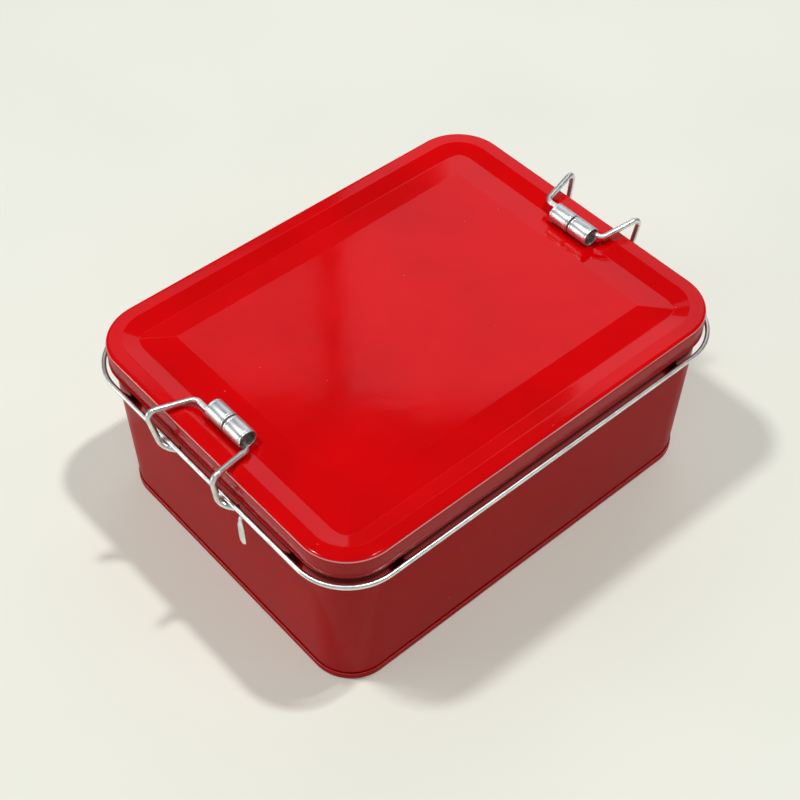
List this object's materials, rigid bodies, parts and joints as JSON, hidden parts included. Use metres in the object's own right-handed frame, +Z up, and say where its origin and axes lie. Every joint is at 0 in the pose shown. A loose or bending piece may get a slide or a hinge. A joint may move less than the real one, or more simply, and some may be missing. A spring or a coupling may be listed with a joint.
{
  "type": "metal lunch box",
  "caption": "Pressed tin lunch box with rounded corners, a lift-off lid with a raised panel, and wire clips with hollow rollers that swing on a wire ring.",
  "frame": {"origin": "on the table, under the middle of the box and its clips", "axes": "+X along the long side, away from the near clip; +Y along the short side; +Z up"},
  "size_m": [0.1942, 0.1454, 0.0794],
  "materials": {
    "red_lacquer": "glossy lacquer on tinned steel",
    "wire_steel": "bright drawn wire",
    "roller_steel": "satin plated tube"
  },
  "bodies": {
    "tin": {"body_shell": "red_lacquer", "base_panel": "red_lacquer", "rim_wire": "wire_steel"},
    "lid": {"lid": "red_lacquer"},
    "near_clip": {"near_clip_wire": "wire_steel"},
    "near_left_roller": {"near_roller_left": "roller_steel"},
    "near_right_roller": {"near_roller_right": "roller_steel"},
    "far_clip": {"far_clip_wire": "wire_steel"},
    "far_left_roller": {"far_roller_left": "roller_steel"},
    "far_right_roller": {"far_roller_right": "roller_steel"}
  },
  "joints": [
    {"name": "lid_lift", "type": "slide", "parent": "tin", "child": "lid", "axis": [0, 0, 1], "range_m": [0, 0.016]},
    {"name": "near_clip_swing", "type": "hinge", "parent": "tin", "child": "near_clip", "pos_m": [-0.0918, 0.0042, 0.0626], "axis": [0, -1, 0], "range_deg": [0, 160]},
    {"name": "far_clip_swing", "type": "hinge", "parent": "tin", "child": "far_clip", "pos_m": [0.0918, -0.0026, 0.0626], "axis": [0, 1, 0], "range_deg": [0, 160]},
    {"name": "near_left_roller_spin", "type": "hinge", "parent": "near_clip", "child": "near_left_roller", "pos_m": [-0.07744, 0.006, 0.07564], "axis": [0, 1, 0], "continuous": true},
    {"name": "near_right_roller_spin", "type": "hinge", "parent": "near_clip", "child": "near_right_roller", "pos_m": [-0.07744, -0.0036, 0.07564], "axis": [0, 1, 0], "continuous": true},
    {"name": "far_left_roller_spin", "type": "hinge", "parent": "far_clip", "child": "far_left_roller", "pos_m": [0.07744, 0.0004, 0.07564], "axis": [0, 1, 0], "continuous": true},
    {"name": "far_right_roller_spin", "type": "hinge", "parent": "far_clip", "child": "far_right_roller", "pos_m": [0.07744, -0.0092, 0.07564], "axis": [0, 1, 0], "continuous": true}
  ],
  "couplings": [
    {"joint": "near_clip_swing", "follows": "lid_lift", "rad_per_m": 174.5},
    {"joint": "far_clip_swing", "follows": "lid_lift", "rad_per_m": 174.5}
  ]
}
